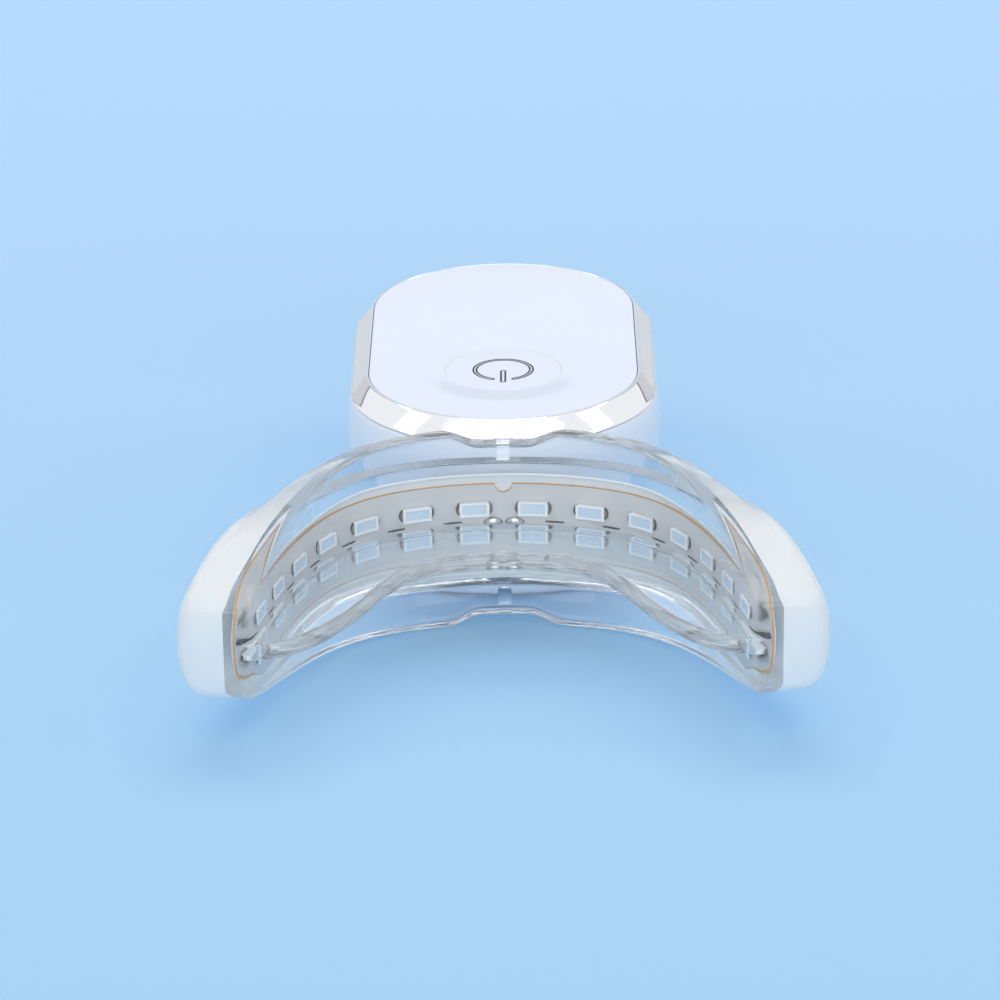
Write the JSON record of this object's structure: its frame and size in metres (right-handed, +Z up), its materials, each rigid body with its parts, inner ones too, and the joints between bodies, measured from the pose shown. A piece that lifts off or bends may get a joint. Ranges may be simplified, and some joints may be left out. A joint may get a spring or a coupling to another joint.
{
  "type": "led teeth whitening light",
  "caption": "Cordless teeth whitening light: clear arched mouthpiece with a bite plate and LED strip, on a pebble-shaped body with a metal ring, glossy panel and push button.",
  "frame": {"origin": "centre of the flat underside of the body", "axes": "+Z up, out of the panel and button; +Y towards the charging socket at the rear; the mouthpiece points along -Y"},
  "size_m": [0.0644, 0.0894, 0.0214],
  "materials": {
    "clear_tray": "clear glossy silicone",
    "clear_block": "clear glossy silicone",
    "solder_mask_white": "white solder mask",
    "adhesive_film": "translucent white film",
    "solder": "bright solder",
    "lead_insulation": "white insulation",
    "seal_rubber": "matt rubber",
    "clip_steel": "stamped steel",
    "housing_white": "glossy white",
    "chrome": "mirror chrome",
    "ring_rubber": "matt rubber",
    "panel_gloss_white": "glossy white",
    "panel_tape": "adhesive foam tape",
    "button_white": "glossy white",
    "frame_abs": "moulded, matt",
    "board_green": "green solder mask",
    "switch_black": "moulded, matt",
    "plunger_ivory": "moulded, matt",
    "chip_black": "moulded epoxy",
    "ferrite_grey": "ferrite",
    "buzzer_black": "moulded, matt",
    "socket_steel": "drawn steel shell",
    "tongue_black": "moulded, matt",
    "cell_foil": "foil pouch",
    "foam_pad": "adhesive foam",
    "battery_lead": "red insulation",
    "led_package": "white package",
    "screw_steel": "plated steel"
  },
  "bodies": {
    "body": {"battery": "cell_foil", "battery_pad": "foam_pad", "battery_ribbon": "battery_lead", "buzzer": "buzzer_black", "charging_socket": "socket_steel", "chrome_ring": "chrome", "controller_chip": "chip_black", "driver_inductor": "ferrite_grey", "frame_screw_1": "screw_steel", "frame_screw_2": "screw_steel", "frame_screw_3": "screw_steel", "frame_screw_4": "screw_steel", "housing": "housing_white", "led_driver_chip": "chip_black", "led_lower_01": "led_package", "led_lower_02": "led_package", "led_lower_03": "led_package", "led_lower_04": "led_package", "led_lower_05": "led_package", "led_lower_06": "led_package", "led_lower_07": "led_package", "led_lower_08": "led_package", "led_lower_09": "led_package", "led_lower_10": "led_package", "led_lower_11": "led_package", "led_lower_12": "led_package", "led_lower_13": "led_package", "led_lower_14": "led_package", "led_ribbon": "lead_insulation", "led_strip": "solder_mask_white", "led_upper_01": "led_package", "led_upper_02": "led_package", "led_upper_03": "led_package", "led_upper_04": "led_package", "led_upper_05": "led_package", "led_upper_06": "led_package", "led_upper_07": "led_package", "led_upper_08": "led_package", "led_upper_09": "led_package", "led_upper_10": "led_package", "led_upper_11": "led_package", "led_upper_12": "led_package", "led_upper_13": "led_package", "led_upper_14": "led_package", "main_board": "board_green", "mid_frame": "frame_abs", "neck_clip": "clip_steel", "neck_seal": "seal_rubber", "panel_tape": "panel_tape", "ring_seal": "ring_rubber", "socket_tongue": "tongue_black", "solder_joint_left": "solder", "solder_joint_right": "solder", "strip_adhesive": "adhesive_film", "tact_switch": "switch_black", "top_panel": "panel_gloss_white", "tray_back": "clear_block", "tray_front": "clear_tray"},
    "button": {"power_button": "button_white"},
    "plunger": {"switch_plunger": "plunger_ivory"}
  },
  "joints": [
    {"name": "power_button_press", "type": "slide", "parent": "body", "child": "button", "axis": [0, 0, -1], "range_m": [0, 0.0004], "stiffness_N_per_m": 1000, "springref_m": -0.0004},
    {"name": "switch_plunger_travel", "type": "slide", "parent": "body", "child": "plunger", "axis": [0, 0, -1], "range_m": [0, 0.0004]}
  ],
  "couplings": [
    {"joint": "switch_plunger_travel", "follows": "power_button_press", "ratio": 1}
  ]
}
